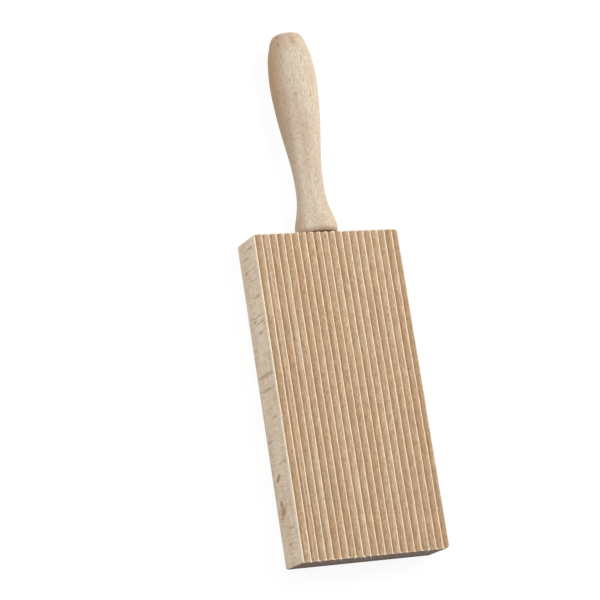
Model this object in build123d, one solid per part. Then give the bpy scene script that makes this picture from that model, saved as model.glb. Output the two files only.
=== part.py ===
from build123d import *
from math import cos, radians, sin, tan
import os

# A gnocchi board: a solid beech block ribbed on one face, with a turned beech handle that is
# dowelled and glued to one end. Millimetres. The board lies on its back with the ribs up (+Z),
# its length along Y with the handle towards +Y, and its width along X. The origin is under the
# middle of the whole tool, at the height of the lowest point, which is the handle's belly.

# Board
board_length = 165.0
board_width = 80.0
board_thickness = 21.5      # from the back to the crests of the ribs
edge_easing = 1.0           # sanded round on the long and short edges of the back
corner_easing = 1.5         # sanded round on the four upright corners

# Ribs: the grooves share the width evenly, so that half a rib ends at each side
groove_count = 20
flank_angle = 45.0          # degrees from the board's face
crest_radius = 0.9
root_radius = 0.25

# Handle, as distances from the board's end and diameters
handle_length = 108.0
foot_face_diameter = 16.0   # what meets the board, inside the foot's rounded lip
foot_diameter = 21.7
foot_widest_at = 3.6
neck_diameter = 14.6
neck_at = 27.0
belly_diameter = 24.4
belly_at = 83.0
tip_diameter = 14.6         # the flat at the free end, before its edge is sanded round
tip_slope = 0.53            # how steeply the crown falls where it meets that flat
tip_easing = 1.8            # the radius that its edge is sanded to

# Hand-picked shares of the way from one named diameter to the next, and of the change between
cove_shares = ((0.15, 0.11), (0.28, 0.35), (0.48, 0.68), (0.68, 0.90))
grip_shares = ((0.21, 0.12), (0.36, 0.34), (0.60, 0.695), (0.82, 0.92))
crown_shares = ((0.40, 0.12), (0.66, 0.345), (0.84, 0.62))

# Dowel pin and its two bores
dowel_bore = 8.0
dowel_length = 40.0
glue_gap = 0.05             # between the pin and the bore wall, all round
bore_end_gap = 1.0          # room for glue past each end of the pin
dowel_chamfer = 1.0
flute_count = 12
flute_radius = 0.45

# Places worked out from the sizes
rib_pitch = board_width / groove_count
axis_height = belly_diameter / 2
back_height = axis_height - board_thickness / 2
crest_height = back_height + board_thickness
overall_length = board_length + handle_length
joint_y = overall_length / 2 - handle_length
dowel_radius = dowel_bore / 2 - glue_gap
half_bore = dowel_length / 2 + bore_end_gap


def rib_outline():
    """Edges of the ribbed face from the left arris to the right one, in the XZ plane."""
    slope = radians(flank_angle)
    crest_run = crest_radius * sin(slope)
    crest_drop = crest_radius * (1 - cos(slope))
    root_run = root_radius * sin(slope)
    root_rise = root_radius * (1 - cos(slope))
    flank_run = rib_pitch / 2 - crest_run - root_run
    rib_height = crest_drop + flank_run * tan(slope) + root_rise
    root_height = crest_height - rib_height

    def crest_point(middle, angle):
        return (middle + crest_radius * sin(angle), crest_height - crest_radius * (1 - cos(angle)))

    def root_point(middle, side):
        return (middle + side * root_run, root_height + root_rise)

    edges = []
    for groove in range(groove_count):
        root = (groove + 1 / 2) * rib_pitch - board_width / 2
        left_crest = root - rib_pitch / 2
        right_crest = root + rib_pitch / 2
        left_arc = [crest_point(left_crest, slope * turn) for turn in (0, 1 / 2, 1)]
        right_arc = [crest_point(right_crest, slope * turn) for turn in (-1, -1 / 2, 0)]
        edges += [
            ThreePointArc(*left_arc),
            Line(left_arc[-1], root_point(root, -1)),
            ThreePointArc(root_point(root, -1), (root, root_height), root_point(root, 1)),
            Line(root_point(root, 1), right_arc[0]),
            ThreePointArc(*right_arc),
        ]
    return edges


def ribbed_board():
    """The block: its section runs the whole length, so the ribs end square at both ends."""
    left, right = -board_width / 2, board_width / 2
    edges = rib_outline() + [
        Line((right, crest_height), (right, back_height)),
        Line((right, back_height), (left, back_height)),
        Line((left, back_height), (left, crest_height)),
    ]
    section = Plane.XZ * make_face(edges)
    block = extrude(Pos(0, joint_y, 0) * section, board_length, dir=(0, -1, 0))
    block = fillet(block.edges().filter_by(Axis.Z), corner_easing)
    back = block.faces().sort_by(Axis.Z)[0]
    block = fillet(back.edges(), edge_easing)
    return block - dowel_hole()


def between(start, end, shares):
    """Points of the handle's outline between two of its named diameters."""
    return [
        (start[0] + (end[0] - start[0]) * along, start[1] + (end[1] - start[1]) * change)
        for along, change in shares
    ]


def turned_handle():
    """Turned about its axis: a foot on the board's end, a neck, a full belly and a blunt tip."""
    rim = (0, foot_face_diameter / 2)
    foot = (foot_widest_at, foot_diameter / 2)
    neck = (neck_at, neck_diameter / 2)
    belly = (belly_at, belly_diameter / 2)
    tip = (handle_length, tip_diameter / 2)
    cove = between(foot, neck, cove_shares)
    grip = between(neck, belly, grip_shares)
    crown = between(belly, tip, crown_shares)
    points = [foot, *cove, neck, *grip, belly, *crown, tip]
    directions = ((1, 0), (1, -tip_slope))
    outline = [
        Line((0, 0), rim),
        EllipticalCenterArc((foot[0], rim[1]), foot[0], foot[1] - rim[1], start_angle=90, arc_size=90),
        Spline(*points, tangents=directions),
        Line(tip, (handle_length, 0)),
        Line((handle_length, 0), (0, 0)),
    ]
    turned = revolve(make_face(outline), axis=Axis.X)
    tip_edge = turned.edges().filter_by(GeomType.CIRCLE).sort_by(Axis.X)[-1]
    turned = fillet(tip_edge, tip_easing)
    return Pos(0, joint_y, axis_height) * Rot(0, 0, 90) * turned - dowel_hole()


def along_y(shape, start_y):
    """Stand a shape that was made upright on Z along +Y, on the handle's axis."""
    return Pos(0, start_y, axis_height) * Rot(-90, 0, 0) * shape


def dowel_hole():
    """Both bores in one cylinder: half in the board's end and half in the handle's foot."""
    upright = Cylinder(dowel_bore / 2, 2 * half_bore, align=(Align.CENTER, Align.CENTER, Align.MIN))
    return along_y(upright, joint_y - half_bore)


def handle_dowel():
    """A fluted pin with chamfered ends. The flutes let the glue spread."""
    section = Circle(dowel_radius)
    for flute in range(flute_count):
        turn = 360 * (flute + 1 / 2) / flute_count
        section -= Rot(0, 0, turn) * Pos(dowel_radius, 0) * Circle(flute_radius)
    pin = extrude(section, dowel_length)
    blank = Cylinder(dowel_radius, dowel_length, align=(Align.CENTER, Align.CENTER, Align.MIN))
    blank = chamfer(blank.edges().filter_by(GeomType.CIRCLE), dowel_chamfer)
    return along_y(pin & blank, joint_y - dowel_length / 2)


os.makedirs("parts", exist_ok=True)
for node, solid in (
    ("ribbed_board", ribbed_board()),
    ("turned_handle", turned_handle()),
    ("handle_dowel", handle_dowel()),
):
    export_step(solid, f"parts/{node}.step")
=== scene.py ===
from math import cos, pi, radians, sin, tan

import bpy
import numpy as np
from mathutils import Matrix, Vector, noise


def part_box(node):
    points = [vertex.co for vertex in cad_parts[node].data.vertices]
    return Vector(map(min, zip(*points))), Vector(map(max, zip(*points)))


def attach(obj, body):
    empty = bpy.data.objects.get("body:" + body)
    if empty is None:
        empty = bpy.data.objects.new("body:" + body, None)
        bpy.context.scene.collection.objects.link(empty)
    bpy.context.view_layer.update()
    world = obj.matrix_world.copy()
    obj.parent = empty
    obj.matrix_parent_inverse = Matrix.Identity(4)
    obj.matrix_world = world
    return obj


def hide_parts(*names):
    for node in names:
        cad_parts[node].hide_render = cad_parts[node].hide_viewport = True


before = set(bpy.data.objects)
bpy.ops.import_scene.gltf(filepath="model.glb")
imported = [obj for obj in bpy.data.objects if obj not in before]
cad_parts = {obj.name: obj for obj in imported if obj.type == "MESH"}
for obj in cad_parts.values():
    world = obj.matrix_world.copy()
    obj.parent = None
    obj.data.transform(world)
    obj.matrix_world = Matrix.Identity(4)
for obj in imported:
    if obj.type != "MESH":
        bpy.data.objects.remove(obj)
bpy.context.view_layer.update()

# The ribbed board
# A beech block with twenty grooves moulded along the grain of one face, so that rounded ribs stand
# between them and half a rib ends at each side. The sides and back are planed, the ends are sawn
# across the grain, and the outer edges are lightly sanded. Its sizes are in millimetres.
MM = 0.001
board_low, board_high = (np.array(corner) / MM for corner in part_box("ribbed_board"))
left_x, free_end_y, back_z = board_low
right_x, joint_y, crest_z = board_high

groove_count = 20
crest_radius = 0.9
root_radius = 0.25
flank_angle = radians(45)
rib_pitch = (right_x - left_x) / groove_count
crests = left_x + rib_pitch * np.arange(groove_count + 1)

arris_easing = 0.45      # where the ribbed face meets the sides
end_arris_easing = 0.3   # where the ribs end
back_easing = 0.6
corner_easing = 1.5      # the two upright corners beside the handle
sharp_corner = 0.6       # the one at the free end's left
knocked_corner = 1.8     # the one at the free end's right, which is worn rounder
corner_reach = 2 * rib_pitch   # how far in from the side the ribs crowd up at a rounded corner

crest_sway = 0.09        # how far a crest strays sideways, slowly and in short kinks
crest_kink = 0.06
crest_dip = 0.05         # how far it is worn down in places
sway_length = 22.0       # over what length along the rib each of these comes and goes
kink_length = 3.0
dip_length = 6.0
flattened_ribs = {2: 0.14, 4: 0.05, 9: 0.06, 17: 0.05}   # some are worn flat, by about this much
steady_flat = 0.8        # the share of it that is the same all along, and the share that varies
varied_flat = 0.2
sway_seed, kink_seed, dip_seed = 1.3, 6.9, 8.1   # any numbers: each picks a pattern of its own
flat_seed, paling_seed, fraying_seed = 5.5, 12.7, 4.1

pale_line_at = 0.52      # offsets are from a crest: its pale line, scuffed fibres and painted highlight, lies just right of it
pale_line_half = 0.19
pale_line_share = 2.0    # how pale the line of scuffs and painted highlight is on average, where 1 is already quite pale
paling_change = 0.35     # how far that varies, in long patches and in short ones
paling_length = 8.0
fraying_change = 0.175
fraying_length = 2.5
pale_shoulder_share = 0.02   # the rest of the crest, less scuffed
pale_foot_at = -1.6      # painted light at the foot of the left flank
pale_foot_half = 0.3
pale_foot_share = 0.12
pale_tip_at = 0.9        # at the free end, a painted highlight down the right of each rib's end
pale_tip_spread = 0.8
pale_tip_half = 0.6
pale_tip_share = 1.3
pale_arris_half = 0.28   # and the whole arris is scuffed thinly
pale_arris_share = 0.6
pale_joint_half = 0.5    # at the handle's end only the crests are
right_arris_pale = (0.6, 0.1)   # the two long arrises, from the start of their rounding to its end
left_arris_pale = (0.35, 0.65)
scuffed_ribs = {         # more scuffs, by rib: offset from its crest, half width and how bare
    0: (0.45, 0.60, 0.8),
    2: (-1.2, 0.15, 0.5),
    4: (-0.6, 0.4, 0.2),
    9: (-0.8, 0.2, 0.22),
}
dark_foot_at = 1.42      # painted shade at the foot of the right flank, in the valley
dark_foot_half = 0.38
dark_left_at = -1.3      # and painted shade low on the left flank, a little
dark_left_half = 0.45
dark_left_share = 0.12

# How finely the skin is divided: across each rib, in shares of the pitch outward from its crest, and
# along the board, in distances from each end that open out to an even step.
rib_steps = np.array([0, 0.03, 0.065, 0.105, 0.145, 0.185, 0.2375, 0.3, 0.375, 0.44, 0.47])
end_steps = np.array([0, 0.04, 0.1, 0.18, 0.3, 0.5, 0.8, 1.1, 1.5, 2, 2.6, 3.3, 4.1])
even_from = 5.0
even_step = 1.0
arc_points = 6           # round each eased edge, its ends included
side_points = 10         # up each side and across the back, between the eased edges
back_points = 28
crisp_angle = radians(50)   # an edge sharper than this stays crisp in the light


def groove_drop(offset):
    """How far the moulded face lies below the crests, at an offset from the nearest crest."""
    away = np.abs(offset)
    crest_run = crest_radius * sin(flank_angle)
    crest_drop = crest_radius * (1 - cos(flank_angle))
    root_run = root_radius * sin(flank_angle)
    root_rise = root_radius * (1 - cos(flank_angle))
    flank_run = rib_pitch / 2 - crest_run - root_run
    depth = crest_drop + flank_run * tan(flank_angle) + root_rise
    on_crest = crest_radius - np.sqrt(np.maximum(crest_radius**2 - away**2, 0))
    on_flank = crest_drop + (away - crest_run) * tan(flank_angle)
    from_root = np.clip(rib_pitch / 2 - away, -root_radius, root_radius)
    on_root = depth - root_radius + np.sqrt(root_radius**2 - from_root**2)
    steep = np.where(away > rib_pitch / 2 - root_run, on_root, on_flank)
    return np.where(away < crest_run, on_crest, steep)


def along_ribs(length, seed, stations):
    """Smooth noise for every crest at every station, mostly from -1 to 1 and each crest its own."""
    crest_step = 3.7   # far enough apart in the noise that no two crests share any of it
    rows = []
    for rib in range(groove_count + 1):
        across = seed + rib * crest_step
        rows.append([noise.noise(Vector((across, y / length, seed))) for y in stations])
    return np.array(rows) * 2


def crest_wear(stations):
    """How far each crest strays and is worn down, and how pale its line of scuffs and painted highlight
    is, at every station.
    """
    sway = along_ribs(sway_length, sway_seed, stations) * crest_sway
    sway += along_ribs(kink_length, kink_seed, stations) * crest_kink
    dip = np.abs(along_ribs(dip_length, dip_seed, stations)) * crest_dip
    flat = steady_flat + varied_flat * along_ribs(sway_length, flat_seed, stations)
    for rib, depth in flattened_ribs.items():
        dip[rib] += depth * flat[rib]
    paling = pale_line_share + paling_change * along_ribs(paling_length, paling_seed, stations)
    paling += fraying_change * along_ribs(fraying_length, fraying_seed, stations)
    return sway, dip, paling


def quarter_round(radius, from_end):
    """How far a rounded edge falls back, at a distance from the face that it ends at."""
    depth = np.clip(radius - from_end, 0, radius)
    return radius - np.sqrt(radius**2 - depth**2)


def board_stations():
    """Places along the board, close together where its ends are rounded."""
    past_last = joint_y - even_from + even_step / 10
    between = np.arange(free_end_y + even_from, past_last, even_step)
    return np.concatenate([free_end_y + end_steps, between, (joint_y - end_steps)[::-1]])


def rib_points():
    """Places across the moulded face, the same on every rib and closest together on its crest."""
    half = rib_steps * rib_pitch
    offsets = np.concatenate([-half[:0:-1], half, [rib_pitch / 2]])
    across = np.unique((crests[:, None] + offsets).round(4))
    return across[(across > left_x + arris_easing) & (across < right_x - arris_easing)]


def crowded(across, left_in, right_in):
    """The places, crowded towards a side that has fallen back, and one more where each arris starts."""
    x = across.copy()
    near_left = x < left_x + corner_reach
    inward = x[near_left] - left_x - corner_reach
    x[near_left] = left_x + corner_reach + inward * (corner_reach - left_in) / corner_reach
    near_right = x > right_x - corner_reach
    inward = x[near_right] - right_x + corner_reach
    x[near_right] = right_x - corner_reach + inward * (corner_reach - right_in) / corner_reach
    left_arris = left_x + left_in + arris_easing
    right_arris = right_x - right_in - arris_easing
    return np.concatenate([[left_arris], x, [right_arris]])


def hump(away, half_width):
    """1 where away is nothing, and falling smoothly to either side."""
    return np.exp(-((away / half_width) ** 2))


def bareness_and_highlight(x, offset, to_free, to_joint, line_share):
    """How pale the moulded face is along one section, from 0 to 1: scuffed fibres, with painted
    highlight and painted light.
    """
    bare = line_share * hump(offset - pale_line_at, pale_line_half)
    bare += pale_shoulder_share * hump(offset, crest_radius)
    for rib, (place, half_width, share) in scuffed_ribs.items():
        bare += share * hump(x - crests[rib] - place, half_width)
    # painted light low on the left flank
    bare += pale_foot_share * hump(offset - pale_foot_at, pale_foot_half)
    bare += pale_arris_share * hump(to_free, pale_arris_half)
    # painted highlight at each rib's end, to its right
    at_tip = hump(to_free, pale_tip_half) * hump(offset - pale_tip_at, pale_tip_spread)
    bare += pale_tip_share * at_tip
    bare += hump(to_joint, pale_joint_half) * hump(offset, crest_radius)
    return np.clip(bare, 0, 1)


def eased_edge(middle_x, middle_z, radius, start, stop):
    """Points of the section on a quarter circle, between two angles."""
    angles = np.linspace(start, stop, arc_points)
    return np.column_stack([middle_x + radius * np.cos(angles), middle_z + radius * np.sin(angles)])


def flat_run(start, stop, count):
    """Points of the section on a straight line, without its ends."""
    steps = np.linspace(0, 1, count + 2)[1:-1, None]
    return np.array(start) + (np.array(stop) - np.array(start)) * steps


def board_section(top, left, right, back):
    """One closed section of the block, clockwise from the moulded face's left end."""
    arris = arris_easing
    low = back_easing
    left_z = top[0, 1] - arris
    right_z = top[-1, 1] - arris
    return np.concatenate([
        top,
        eased_edge(right - arris, right_z, arris, pi / 2, 0)[1:],
        flat_run((right, right_z), (right, back + low), side_points),
        eased_edge(right - low, back + low, low, 0, -pi / 2),
        flat_run((right - low, back), (left + low, back), back_points),
        eased_edge(left + low, back + low, low, -pi / 2, -pi),
        flat_run((left, back + low), (left, left_z), side_points),
        eased_edge(left + arris, left_z, arris, pi, pi / 2)[:-1],
    ])


def board_faces(ring_count, ring_points, top_points):
    """The skin's faces between its rings, with a cap at each end, and the material slot of each."""
    moulded, planed, sawn = 0, 1, 2
    moulded_stop = top_points + 2   # the moulded look laps over part of each eased arris
    moulded_start = ring_points - 3
    back_start = top_points + side_points + 2 * (arc_points - 1)
    back_stop = back_start + back_points + 1
    bottom_shade_rows = 5                 # the back's first half millimetre gets the free end's painted shade
    faces = []
    slots = []
    for j in range(ring_count - 1):
        here = j * ring_points
        there = here + ring_points
        for i in range(ring_points):
            after = (i + 1) % ring_points
            faces.append((here + i, here + after, there + after, there + i))
            if i < moulded_stop or i >= moulded_start:
                slots.append(moulded)
            elif j < bottom_shade_rows and back_start <= i < back_stop:
                slots.append(sawn)
            else:
                slots.append(planed)
    last = (ring_count - 1) * ring_points
    faces.append(tuple(range(ring_points))[::-1])
    faces.append(tuple(range(last, last + ring_points)))
    slots += [sawn, sawn]
    return faces, slots


def board_mesh():
    """The block's skin: one closed section, carried along the stations, and a cap at each end."""
    stations = board_stations()
    sway, dip, paling = crest_wear(stations)
    across = rib_points()
    rings = []
    bare = []
    painted_valley_shade = []
    for j, y in enumerate(stations):
        to_free = y - free_end_y
        to_joint = joint_y - y
        to_end = min(to_free, to_joint)
        by_free_end = to_free < to_joint
        left_in = quarter_round(sharp_corner if by_free_end else corner_easing, to_end)
        right_in = quarter_round(knocked_corner if by_free_end else corner_easing, to_end)
        back_in = quarter_round(back_easing, to_end)
        top_in = quarter_round(end_arris_easing, to_end)

        x = crowded(across, left_in, right_in)
        nearest = np.rint((x - left_x) / rib_pitch).astype(int)
        offset = x - crests[nearest] - np.interp(x, crests, sway[:, j])
        worn_z = crest_z - np.interp(x, crests, dip[:, j])
        z = np.minimum(crest_z - groove_drop(offset), worn_z) - top_in
        top = np.column_stack([x, z])
        ring = board_section(top, left_x + left_in, right_x - right_in, back_z + back_in)

        pale = np.zeros(len(ring))
        # pale: scuffed fibres, with painted highlight and painted light
        pale[: len(top)] = bareness_and_highlight(x, offset, to_free, to_joint, paling[nearest, j])
        pale[len(top) : len(top) + arc_points - 1] = np.linspace(*right_arris_pale, arc_points - 1)
        pale[1 - arc_points :] = np.linspace(*left_arris_pale, arc_points - 1)
        dark = np.zeros(len(ring))
        # painted shade low on both flanks, towards each valley
        dark[: len(top)] = hump(offset - dark_foot_at, dark_foot_half)
        dark[: len(top)] += dark_left_share * hump(offset - dark_left_at, dark_left_half)
        rings.append(np.column_stack([ring[:, 0], np.full(len(ring), y), ring[:, 1]]))
        bare.append(pale)
        painted_valley_shade.append(dark)

    faces, slots = board_faces(len(rings), len(rings[0]), len(top))
    mesh = bpy.data.meshes.new("ribbed_board_dressed")
    mesh.from_pydata(np.concatenate(rings) * MM, [], faces)
    mesh.polygons.foreach_set("material_index", slots)
    mesh.polygons.foreach_set("use_smooth", [True] * len(faces))
    mesh.set_sharp_from_angle(angle=crisp_angle)
    for name, values in (("bare_fibre_and_highlight", bare), ("painted_valley_shade", painted_valley_shade)):
        layer = mesh.attributes.new(name, "FLOAT", "POINT")
        layer.data.foreach_set("value", np.concatenate(values).astype(np.float32))
    mesh.validate()
    return mesh


def add_node(tree, kind, inputs=None, **settings):
    """Adds one shader node, with its settings and with each input a value or another's output."""
    made = tree.nodes.new(kind)
    for name, value in settings.items():
        setattr(made, name, value)
    for socket, value in (inputs or {}).items():
        if isinstance(value, bpy.types.NodeSocket):
            tree.links.new(value, made.inputs[socket])
        else:
            made.inputs[socket].default_value = value
    return made


def hex_colour(code):
    """An sRGB hex colour as linear RGBA."""
    channels = [int(code[i : i + 2], 16) / 255 for i in (1, 3, 5)]
    linear = [c / 12.92 if c <= 0.04045 else ((c + 0.055) / 1.055) ** 2.4 for c in channels]
    return (*linear, 1.0)


def empty_material(name):
    """A new material whose node tree is still empty."""
    material = bpy.data.materials.new(name)
    material.use_nodes = True
    material.node_tree.nodes.clear()
    return material


def grain_space(tree, spacing, turn=(0, 0, 0)):
    """The wood's own coordinates, divided by a real size in mm along each of X, Y and Z."""
    place = add_node(tree, "ShaderNodeTexCoord")
    turned = add_node(
        tree,
        "ShaderNodeMapping",
        {"Vector": place.outputs["Object"], "Rotation": tuple(radians(a) for a in turn)},
        vector_type="TEXTURE",
    )
    scale = tuple(1 / (MM * size) for size in spacing)
    divided = add_node(tree, "ShaderNodeMapping", {"Vector": turned.outputs[0], "Scale": scale})
    return divided.outputs[0]


def streaks(tree, spacing, low, high, detail=2.0, turn=(0, 0, 0)):
    """Noise drawn out to a real size along each axis, from 0 to 1 between two of its levels."""
    space = grain_space(tree, spacing, turn)
    drawn = add_node(
        tree,
        "ShaderNodeTexNoise",
        {"Vector": space, "Scale": 1.0, "Detail": detail, "Roughness": 0.55},
    )
    levels = {"Value": drawn.outputs[0], "From Min": low, "From Max": high}
    return add_node(tree, "ShaderNodeMapRange", levels).outputs[0]


def ray_dashes(tree, spacing, size):
    """Wood rays: one short dark body in each cell, 1 in its core and 0 past its size."""
    core = 0.6 * size
    space = grain_space(tree, spacing)
    cells = add_node(
        tree, "ShaderNodeTexVoronoi", {"Vector": space, "Scale": 1.0, "Randomness": 1.0}
    )
    levels = {"Value": cells.outputs["Distance"], "From Min": size, "From Max": core}
    return add_node(tree, "ShaderNodeMapRange", levels).outputs[0]


def marks(tree, places, tilt=0.0):
    """Single ragged marks: each has a place and a half size along X, Y and Z, in mm.

    All are tilted about X. Their outlines stray by up to half a millimetre either way.
    """
    stray = 1.0
    outer, core = 1.2, 0.5   # a mark fades between these shares of its half size
    plain = add_node(tree, "ShaderNodeTexCoord").outputs["Object"]
    space = grain_space(tree, (1.5, 1.5, 1.5))
    ragged = add_node(tree, "ShaderNodeTexNoise", {"Vector": space, "Scale": 1.0, "Detail": 2.0})
    strayed = add_node(
        tree,
        "ShaderNodeVectorMath",
        {0: ragged.outputs["Color"], 1: (stray * MM,) * 3, 2: plain},
        operation="MULTIPLY_ADD",
    )
    strength = None
    for place, half_size in places:
        local = add_node(
            tree,
            "ShaderNodeMapping",
            {
                "Vector": strayed.outputs[0],
                "Location": tuple((c + stray / 2) * MM for c in place),
                "Rotation": (radians(tilt), 0, 0),
                "Scale": tuple(c * MM for c in half_size),
            },
            vector_type="TEXTURE",
        )
        away = add_node(tree, "ShaderNodeVectorMath", {0: local.outputs[0]}, operation="LENGTH")
        levels = {"Value": away.outputs["Value"], "From Min": outer, "From Max": core}
        mark = add_node(tree, "ShaderNodeMapRange", levels).outputs[0]
        if strength is None:
            strength = mark
        else:
            both = add_node(tree, "ShaderNodeMath", {0: strength, 1: mark}, operation="MAXIMUM")
            strength = both.outputs[0]
    return strength


def along(tree, direction, start, end):
    """From 0 to 1 between two distances in mm along a direction through the wood."""
    place = add_node(tree, "ShaderNodeTexCoord").outputs["Object"]
    reach = add_node(
        tree, "ShaderNodeVectorMath", {0: place, 1: direction}, operation="DOT_PRODUCT"
    )
    levels = {"Value": reach.outputs["Value"], "From Min": start * MM, "From Max": end * MM}
    return add_node(tree, "ShaderNodeMapRange", levels).outputs[0]


def tinted(tree, colour, tint, amount, share=1.0):
    """A colour with a second one laid over it, by an amount from 0 to 1 times a share."""
    strength = add_node(
        tree, "ShaderNodeMath", {0: amount, 1: share}, operation="MULTIPLY", use_clamp=True
    )
    mix = add_node(tree, "ShaderNodeMix", {"Factor": strength.outputs[0]}, data_type="RGBA")
    first_colour, second_colour, mixed_colour = 6, 7, 2   # a mix node's colour sockets
    for socket, value in ((first_colour, colour), (second_colour, tint)):
        if isinstance(value, str):
            mix.inputs[socket].default_value = hex_colour(value)
        else:
            tree.links.new(value, mix.inputs[socket])
    return mix.outputs[mixed_colour]


def bare_wood(tree, colour, relief, relief_mm, roughness):
    """The shader for wood with no finish: matt, with the relief of its cut grain."""
    bump = add_node(
        tree, "ShaderNodeBump", {"Height": relief, "Distance": relief_mm * MM, "Strength": 1.0}
    )
    shader = add_node(
        tree,
        "ShaderNodeBsdfPrincipled",
        {"Base Color": colour, "Roughness": roughness, "IOR": 1.45, "Normal": bump.outputs[0]},
    )
    add_node(tree, "ShaderNodeOutputMaterial", {"Surface": shader.outputs[0]})


# Beech, moulded: the cutters leave the flanks a warm tan with the flat-sawn figure on them, in bands
# that run from tan to pinkish and olive, with faint streaks and short dark rays. On the crests the
# fibres are scuffed, pale and uneven, with a painted highlight along the right of each crest, and the
# foot of each flank has painted shade. The rays are really 0.1 mm wide and are drawn wider to show.
beech_moulded = empty_material("beech_moulded")
tree = beech_moulded.node_tree
growth_bands = streaks(tree, (4, 90, 5), 0.4, 0.6)
pink_bands = streaks(tree, (3, 40, 3), 0.5, 0.64, turn=(0, 0, 1))
olive_bands = streaks(tree, (2.5, 30, 2.5), 0.52, 0.66, turn=(0, 0, -1))
light_streaks = streaks(tree, (0.8, 18, 1.5), 0.54, 0.68)
fine = streaks(tree, (0.55, 5, 0.8), 0.42, 0.6, detail=1.0)
speckle = streaks(tree, (0.6, 1.8, 0.8), 0.42, 0.6, detail=1.0)
rays = ray_dashes(tree, (0.9, 4.0, 3.2), 0.24)
tan_wood = tinted(tree, "#DEC5A2", "#D2B089", growth_bands)
tan_wood = tinted(tree, tan_wood, "#D8AE96", pink_bands, 0.4)
tan_wood = tinted(tree, tan_wood, "#BFA67E", olive_bands, 0.4)
tan_wood = tinted(tree, tan_wood, "#E6CFB0", light_streaks, 0.4)
tan_wood = tinted(tree, tan_wood, "#966E45", fine, 0.38)
tan_wood = tinted(tree, tan_wood, "#AB8059", speckle, 0.4)
tan_wood = tinted(tree, tan_wood, "#7E5634", rays, 0.5)
# the painted shade in the valleys, carried on the mesh
valley_shade_amount = add_node(tree, "ShaderNodeAttribute", attribute_name="painted_valley_shade").outputs["Fac"]
tan_wood = tinted(tree, tan_wood, "#795836", valley_shade_amount, 0.66)
# scuffed fibres and painted highlight on the crests, carried on the mesh
worn_and_highlit = add_node(tree, "ShaderNodeAttribute", attribute_name="bare_fibre_and_highlight").outputs["Fac"]
beading = streaks(tree, (1.2, 2.2, 1.2), 0.05, 0.5)
scuffed_and_highlit = add_node(tree, "ShaderNodeMath", {0: worn_and_highlit, 1: beading}, operation="MULTIPLY").outputs[0]
tan_wood = tinted(tree, tan_wood, "#FFF6E3", scuffed_and_highlit)
bare_wood(tree, tan_wood, fine, 0.04, 0.7)

# Beech, planed: the sides show the quarter-sawn figure, greyer and paler. Its rays cross the grain
# as fine close hatching, with some long dark lines among it and a few red-brown flecks. The hatching
# and specks are drawn coarser than they are, to show. The top edge is paler.
long_rays = (
    ((left_x, 23, 16.5), (2, 0.8, 4)),
    ((left_x, 19, 10), (2, 0.6, 5)),
    ((left_x, 12, 8), (2, 0.7, 2.5)),
    ((left_x, -2, 17), (2, 0.9, 4.5)),
    ((left_x, -11.5, 13), (2, 0.5, 9)),
    ((left_x, -13.5, 9.5), (2, 0.7, 2.2)),
    ((left_x, -15, 15), (2, 0.5, 7)),
    ((left_x, -20, 14.5), (2, 0.9, 3)),
    ((left_x, -41.5, 12.5), (2, 1.2, 11)),
    ((left_x, -48.5, 12.5), (2, 0.6, 10)),
    ((left_x, -63, 16), (2, 0.6, 3.5)),
    ((left_x, -73.5, 6), (2, 0.6, 4)),
    ((left_x, -112, 6.5), (2, 0.9, 3)),
    ((left_x, -118, 16), (2, 0.8, 4)),
)
red_flecks = (
    ((left_x, -92.5, 9), (2, 1.6, 3.4)),
    ((left_x, -105.2, 8.3), (2, 2.2, 1.8)),
    ((left_x, -109.2, 9.3), (2, 2.6, 3.4)),
    ((left_x, -126, 11.5), (2, 1.4, 0.9)),
)
faint_flecks = (
    ((left_x, -86, 14.6), (2, 0.8, 2.0)),
    ((left_x, -85.7, 19.0), (2, 0.9, 2.0)),
)
pale_edge_reach = 1.6        # how far down from the crests' height the paler top edge shows
pale_edge_full = 0.6         # and how far down it is full
beech_planed = empty_material("beech_planed")
tree = beech_planed.node_tree
growth_bands = streaks(tree, (5, 45, 6), 0.38, 0.62)
close_rays = streaks(tree, (1.5, 0.8, 7), 0.42, 0.6, detail=1.0)
in_patches = streaks(tree, (5, 14, 9), 0.35, 0.6)
hatch = add_node(
    tree, "ShaderNodeMath", {0: close_rays, 1: in_patches}, operation="MULTIPLY"
).outputs[0]
speckle = streaks(tree, (0.6, 0.6, 1.2), 0.42, 0.6, detail=1.0)
by_arris = along(tree, (0, 0, 1), crest_z - pale_edge_reach, crest_z - pale_edge_full)
pale_wood = tinted(tree, "#F1E1C9", "#E8D4BA", growth_bands)
pale_wood = tinted(tree, pale_wood, "#A98668", hatch, 0.35)
pale_wood = tinted(tree, pale_wood, "#BA9C80", speckle, 0.32)
pale_wood = tinted(tree, pale_wood, "#8F6749", marks(tree, long_rays), 0.45)
pale_wood = tinted(tree, pale_wood, "#A3683F", marks(tree, red_flecks, tilt=-28.0), 0.75)
pale_wood = tinted(tree, pale_wood, "#A87652", marks(tree, faint_flecks), 0.5)
pale_wood = tinted(tree, pale_wood, "#FFF0DA", by_arris, 0.35)
bare_wood(tree, pale_wood, hatch, 0.03, 0.7)

# Beech, sawn: end grain drinks the light, so it is darker and greyer, with the rings just seen and
# the cut pores as dark specks, drawn wide enough to show. The free end is painted darker than the
# handle's end, as painted shade, and darker still along its bottom, painted shade near the floor.
bottom_shade_reach = 10.0        # how far up from the back the free end has painted shade
bottom_shade_full = 0.5          # and how far up that is full
beech_sawn = empty_material("beech_sawn")
tree = beech_sawn.node_tree
rings = streaks(tree, (30, 30, 1.3), 0.3, 0.7)
pores = streaks(tree, (1.2, 5, 1.1), 0.42, 0.6, detail=1.0)
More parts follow.
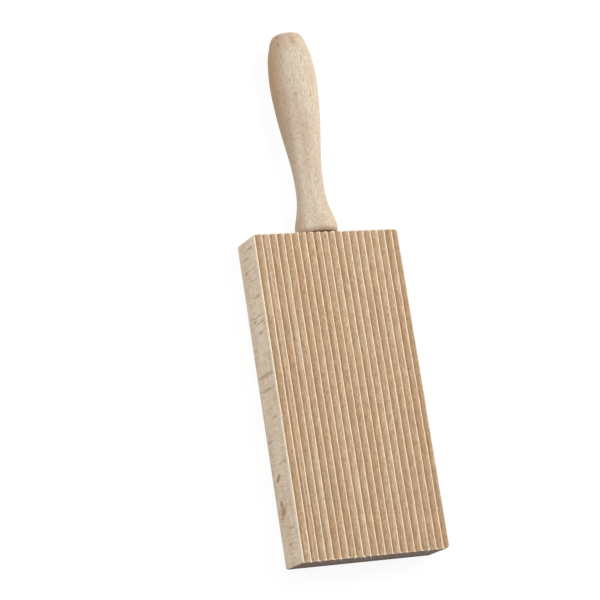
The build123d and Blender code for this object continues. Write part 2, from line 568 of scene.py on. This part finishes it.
# painted shade along the bottom of the free end
painted_bottom_shade = along(tree, (0, 0, -1), -back_z - bottom_shade_reach, -back_z - bottom_shade_full)
at_free_end = along(tree, (0, -1, 0), 0, 1)   # the two ends lie either side of Y = 0
unshaded_end = tinted(tree, "#D6BEA6", "#BBA08A", rings)
unshaded_end = tinted(tree, unshaded_end, "#8F7462", pores, 0.5)
# the free end is a darker copy of the end grain: painted shade
shaded_free_end = tinted(tree, "#B89F8C", "#957C6F", rings)
shaded_free_end = tinted(tree, shaded_free_end, "#66534D", pores, 0.6)
shaded_free_end = tinted(tree, shaded_free_end, "#3A2D27", painted_bottom_shade, 0.7)
end_wood = tinted(tree, unshaded_end, shaded_free_end, at_free_end)
bare_wood(tree, end_wood, pores, 0.08, 0.8)

board = bpy.data.objects.new("ribbed_board_dressed", board_mesh())
bpy.context.scene.collection.objects.link(board)
for material in (beech_moulded, beech_planed, beech_sawn):
    board.data.materials.append(material)
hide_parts("ribbed_board")
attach(board, "root")

# The torn fibres
# Slivers of the board's own beech that the cutters and the saw have lifted: a few along the free
# end, some on worn crests and one long one on the left arris. Each is still joined at its root.
fibre_half = 0.26        # half a sliver's width where it leaves the wood
fibre_taper = 0.75       # the share of its width that it loses by its end
fibre_curl = 25          # degrees that it bends to one side
fibre_spring = 1.4       # how much more steeply it rises at its root than on average
fibre_rings = 8
fibre_sides = 6
torn_fibres = (          # root's x, distance from the free end, length, heading in degrees, lift
    (-35.4, 0.2, 1.0, 230, 0.2),
    (-31.3, 0.2, 1.2, 300, 0.2),
    (-27.7, 0.3, 1.4, 195, 0.3),
    (-23.5, 0.2, 1.1, 310, 0.2),
    (-19.4, 0.2, 1.0, 225, 0.2),
    (-15.5, 0.3, 1.3, 320, 0.2),
    (-11.7, 0.2, 1.5, 205, 0.4),
    (-7.6, 0.3, 1.8, 300, 0.3),
    (-7.3, 0.7, 2.4, 195, 0.5),
    (-7.0, 1.0, 2.0, 150, 0.6),
    (-6.6, 0.4, 1.6, 20, 0.5),
    (-3.3, 0.2, 1.4, 235, 0.3),
    (-2.6, 0.6, 1.8, 35, 0.5),
    (0.6, 0.2, 1.1, 300, 0.2),
    (4.5, 0.3, 1.4, 200, 0.3),
    (8.4, 0.2, 1.0, 320, 0.2),
    (12.3, 0.2, 1.3, 330, 0.3),
    (16.4, 0.3, 1.3, 210, 0.3),
    (20.5, 0.2, 1.0, 300, 0.2),
    (24.3, 0.2, 1.3, 335, 0.3),
    (29.2, 0.9, 2.0, 20, 0.5),
    (28.6, 0.4, 1.6, 215, 0.4),
    (32.5, 0.3, 1.5, 310, 0.3),
    (36.6, 19.8, 1.5, 60, 0.4),
    (37.1, 17.9, 1.6, 120, 0.4),
    (36.8, 16.1, 1.5, 75, 0.4),
    (-39.1, 75.4, 6.3, -98, 1.5),
    (-38.2, 69.7, 2.2, -45, 0.6),
    (-7.7, 125.4, 3.2, -97, 0.3),
    (-7.4, 121.3, 3.4, -101, 0.4),
    (-7.6, 117.2, 3.0, -94, 0.3),
    (-11.4, 118.4, 3.0, -101, 0.4),
    (-11.6, 114.8, 2.8, -96, 0.4),
)


def sliver_rings(place, length, heading, lift):
    """Rings of a thin sliver that leaves the wood at a place and curls up and to one side."""
    around = radians(360 / fibre_sides) * np.arange(fibre_sides)
    up = np.array([0, 0, 1])
    rings = []
    for step in np.linspace(0, 1, fibre_rings):
        turn = radians(heading + fibre_curl * step)
        ahead = np.array([cos(turn), sin(turn), 0])
        side = np.array([-sin(turn), cos(turn), 0])
        rise = lift * step * (fibre_spring - (fibre_spring - 1) * step)
        middle = place + ahead * length * step + up * rise
        half = fibre_half * (1 - fibre_taper * step)
        rings.append([middle + half * (side * cos(a) + up * sin(a)) for a in around])
    return rings


def fibre_mesh():
    """All the slivers, each a closed tube of its own."""
    verts = []
    faces = []
    for root_x, from_end, length, heading, lift in torn_fibres:
        to_crest = root_x - left_x - rib_pitch * round((root_x - left_x) / rib_pitch)
        root_z = crest_z - float(groove_drop(np.array(to_crest))) - fibre_half
        place = np.array([root_x, free_end_y + from_end, root_z])
        first = len(verts)
        for ring in sliver_rings(place, length, heading, lift):
            verts.extend(ring)
        for j in range(fibre_rings - 1):
            here = first + j * fibre_sides
            there = here + fibre_sides
            for i in range(fibre_sides):
                after = (i + 1) % fibre_sides
                faces.append((here + i, here + after, there + after, there + i))
        last = first + (fibre_rings - 1) * fibre_sides
        faces.append(tuple(range(first, first + fibre_sides))[::-1])
        faces.append(tuple(range(last, last + fibre_sides)))
    mesh = bpy.data.meshes.new("torn_fibres")
    mesh.from_pydata(np.array(verts) * MM, [], faces)
    mesh.polygons.foreach_set("use_smooth", [True] * len(faces))
    mesh.validate()
    return mesh


# Beech, torn: fresh dry fibre, the palest of all, hardly streaked.
beech_torn = empty_material("beech_torn")
tree = beech_torn.node_tree
lint = streaks(tree, (0.4, 1.0, 0.4), 0.4, 0.65)
torn_wood = tinted(tree, "#FFF3DF", "#E3C39C", lint)
bare_wood(tree, torn_wood, lint, 0.01, 0.8)

fibres = bpy.data.objects.new("torn_fibres", fibre_mesh())
bpy.context.scene.collection.objects.link(fibres)
fibres.data.materials.append(beech_torn)
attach(fibres, "root")

# The handle
# Beech again, paler, turned on a lathe and sanded: a foot on the board's end, a narrow neck and a
# full belly that ends in a blunt tip with a sanded edge. It is glued over half of the dowel.
tip_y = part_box("turned_handle")[1][1] / MM
foot_grain_reach = 3.6   # how far up from the board the foot's brown end grain shows
joint_gap_shade_reach = 1.3   # and the painted shade in the gap at the glued joint
foot_lip = 0.8           # both are full up to here
tip_grain_reach = 4.0    # how far down from the tip its end grain shows
tint_and_shade_way = (-0.92, 0.03, -0.389)   # from the axis towards the handle's left and lower side: browner wood, with painted shade
tint_and_shade_start = -0.5       # where it sets in along that way, and where it is full
tint_and_shade_full = 9.0
tip_streaks = (
    ((-1.2, tip_y - 5, 21.5), (1.1, 4, 3)),
)
dark_rays = (
    ((-7.2, tip_y - 2.5, 17), (0.7, 1.6, 1.5)),
    ((-7.9, tip_y - 6.5, 18), (0.6, 2.0, 1.5)),
    ((2.3, tip_y - 3.2, 20.7), (0.4, 0.6, 1.0)),
    ((1.0, tip_y - 15.6, 23.8), (0.35, 1.5, 1.0)),
    ((-4.7, tip_y - 35, 23), (0.4, 1.2, 1.0)),
    ((3.4, tip_y - 35.8, 23.4), (0.4, 1.2, 1.0)),
)

# Beech, turned and sanded: smooth and creamy, with close short rays all round, drawn wider than they
# are. The left and lower side is browner, a browner tint of the wood with painted shade on it, and end
# grain shows brown at the foot and pinkish at the tip.
beech_turned = empty_material("beech_turned")
tree = beech_turned.node_tree
growth_bands = streaks(tree, (4, 70, 4), 0.4, 0.62)
pink_bands = streaks(tree, (2.5, 25, 2.5), 0.52, 0.68)
brown_tint_and_shade = along(tree, tint_and_shade_way, tint_and_shade_start, tint_and_shade_full)
fine = streaks(tree, (0.45, 3.5, 0.45), 0.4, 0.6, detail=1.0)
rays = ray_dashes(tree, (1.05, 3.6, 1.05), 0.29)
foot_grain = along(tree, (0, -1, 0), -joint_y - foot_grain_reach, -joint_y - foot_lip)
joint_gap_shade = along(tree, (0, -1, 0), -joint_y - joint_gap_shade_reach, -joint_y - foot_lip)
tip_grain = along(tree, (0, 1, 0), tip_y - tip_grain_reach, tip_y)
cream = tinted(tree, "#DDCFBB", "#D1BFA8", growth_bands)
cream = tinted(tree, cream, "#DDC1B0", pink_bands, 0.25)
# browner wood with painted shade on the handle's left and lower side
cream = tinted(tree, cream, "#B19069", brown_tint_and_shade, 0.9)
cream = tinted(tree, cream, "#A5876C", fine, 0.3)
cream = tinted(tree, cream, "#836034", rays, 0.42)
cream = tinted(tree, cream, "#9C7048", foot_grain, 0.6)
# painted shade in the gap between the foot and the board
cream = tinted(tree, cream, "#4E3624", joint_gap_shade, 0.75)
cream = tinted(tree, cream, "#CFA893", tip_grain, 0.4)
cream = tinted(tree, cream, "#A8834E", marks(tree, tip_streaks), 0.5)
cream = tinted(tree, cream, "#7E5F40", marks(tree, dark_rays), 0.45)
bare_wood(tree, cream, fine, 0.02, 0.6)
handle_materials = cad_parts["turned_handle"].data.materials
handle_materials.clear()
handle_materials.append(beech_turned)

# The dowel pin
# A fluted beech pin, cut to length and glued into the bores of the board and of the handle, out of
# sight. Its shape is the solid's own.

# Beech, fluted: drawn through a cutter and never sanded, so it is plainly streaked along the grain.
beech_fluted = empty_material("beech_fluted")
tree = beech_fluted.node_tree
pin_streaks = streaks(tree, (0.8, 9, 0.8), 0.3, 0.7, detail=3.0)
pin_relief = streaks(tree, (0.5, 5, 0.5), 0.3, 0.7)
pin_wood = tinted(tree, "#D8C09E", "#B99671", pin_streaks)
bare_wood(tree, pin_wood, pin_relief, 0.02, 0.6)
pin_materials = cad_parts["handle_dowel"].data.materials
pin_materials.clear()
pin_materials.append(beech_fluted)

# The floor
# A plain pale surface that the board lies on. What the camera sees of it is mostly its own glow,
# which is near white, and the rest of it keeps the soft shadow.
floor_half = 3.0         # metres
floor_glow = 1.16
floor_glow_share = 0.8


def seen_directly(tree):
    """1 for the rays that show the background, straight or by way of a shine or glass, else 0."""
    paths = add_node(tree, "ShaderNodeLightPath").outputs
    seen = paths["Is Camera Ray"]
    for kind in ("Is Glossy Ray", "Is Transmission Ray"):
        either = add_node(tree, "ShaderNodeMath", {0: seen, 1: paths[kind]}, operation="MAXIMUM")
        seen = either.outputs[0]
    return seen


pale_floor = empty_material("pale_floor")
tree = pale_floor.node_tree
glowing = add_node(
    tree, "ShaderNodeMath", {0: seen_directly(tree), 1: floor_glow_share}, operation="MULTIPLY"
)
lit = add_node(tree, "ShaderNodeBsdfDiffuse", {"Color": hex_colour("#BCBCBC")})
glow = add_node(
    tree, "ShaderNodeEmission", {"Color": hex_colour("#FFFFFF"), "Strength": floor_glow}
)
surface = add_node(
    tree, "ShaderNodeMixShader", {0: glowing.outputs[0], 1: lit.outputs[0], 2: glow.outputs[0]}
)
add_node(tree, "ShaderNodeOutputMaterial", {"Surface": surface.outputs[0]})

floor_mesh = bpy.data.meshes.new("floor")
floor_corners = [(x * floor_half, y * floor_half, 0) for x, y in ((-1, -1), (1, -1), (1, 1), (-1, 1))]
floor_mesh.from_pydata(floor_corners, [], [(0, 1, 2, 3)])
floor_mesh.materials.append(pale_floor)
floor = bpy.data.objects.new("floor", floor_mesh)
bpy.context.scene.collection.objects.link(floor)

# The light
# A soft sky of even light and three large soft lamps: one low on the handle's right, one overhead
# and a weaker one at the left. The backdrop is white.
sky_strength = 0.18
lamp_target = (0, 0, 0.01)
world = bpy.data.worlds.new("studio")
world.use_nodes = True
tree = world.node_tree
tree.nodes.clear()
sky = add_node(
    tree, "ShaderNodeBackground", {"Color": hex_colour("#FCFDFF"), "Strength": sky_strength}
)
backdrop = add_node(
    tree, "ShaderNodeBackground", {"Color": hex_colour("#FFFFFF"), "Strength": 1.0}
)
shown = add_node(
    tree, "ShaderNodeMixShader", {0: seen_directly(tree), 1: sky.outputs[0], 2: backdrop.outputs[0]}
)
add_node(tree, "ShaderNodeOutputWorld", {"Surface": shown.outputs[0]})
bpy.context.scene.world = world


def add_lamp(name, place, size, watts, colour):
    """A square area lamp, sized and placed in metres, that faces the board."""
    data = bpy.data.lights.new(name, "AREA")
    data.size = size
    data.energy = watts
    data.color = hex_colour(colour)[:3]
    made = bpy.data.objects.new(name, data)
    made.location = place
    facing = Vector(lamp_target) - Vector(place)
    made.rotation_euler = facing.to_track_quat("-Z", "Y").to_euler()
    bpy.context.scene.collection.objects.link(made)


add_lamp("low_right", (1.4, 0.3, 0.46), 0.5, 12.0, "#FFFBF4")
add_lamp("overhead", (0.52, 0.35, 1.4), 0.8, 12.5, "#FFFBF4")
add_lamp("left", (-1.2, 0.3, 0.71), 0.8, 10.8, "#FFFFFF")

# The camera
# It looks down on the board from the left of the free end, as the photograph does. Its place is in
# metres, and its focal length and sensor in millimetres.
camera_place = Vector((-0.51787, -0.27210, 1.08441))
camera_right = Vector((0.909042, -0.150288, 0.38866))
camera_up = Vector((0.046813, 0.963625, 0.263126))
camera_back = camera_right.cross(camera_up)
focal_length = 145.456
sensor_width = 36.0
camera_data = bpy.data.cameras.new("camera")
camera_data.lens = focal_length
camera_data.sensor_width = sensor_width
camera = bpy.data.objects.new("camera", camera_data)
camera_turn = Matrix((camera_right, camera_up, camera_back)).transposed()
camera.matrix_world = Matrix.Translation(camera_place) @ camera_turn.to_4x4()
bpy.context.scene.collection.objects.link(camera)
bpy.context.scene.camera = camera
bpy.context.scene.view_settings.view_transform = "Standard"
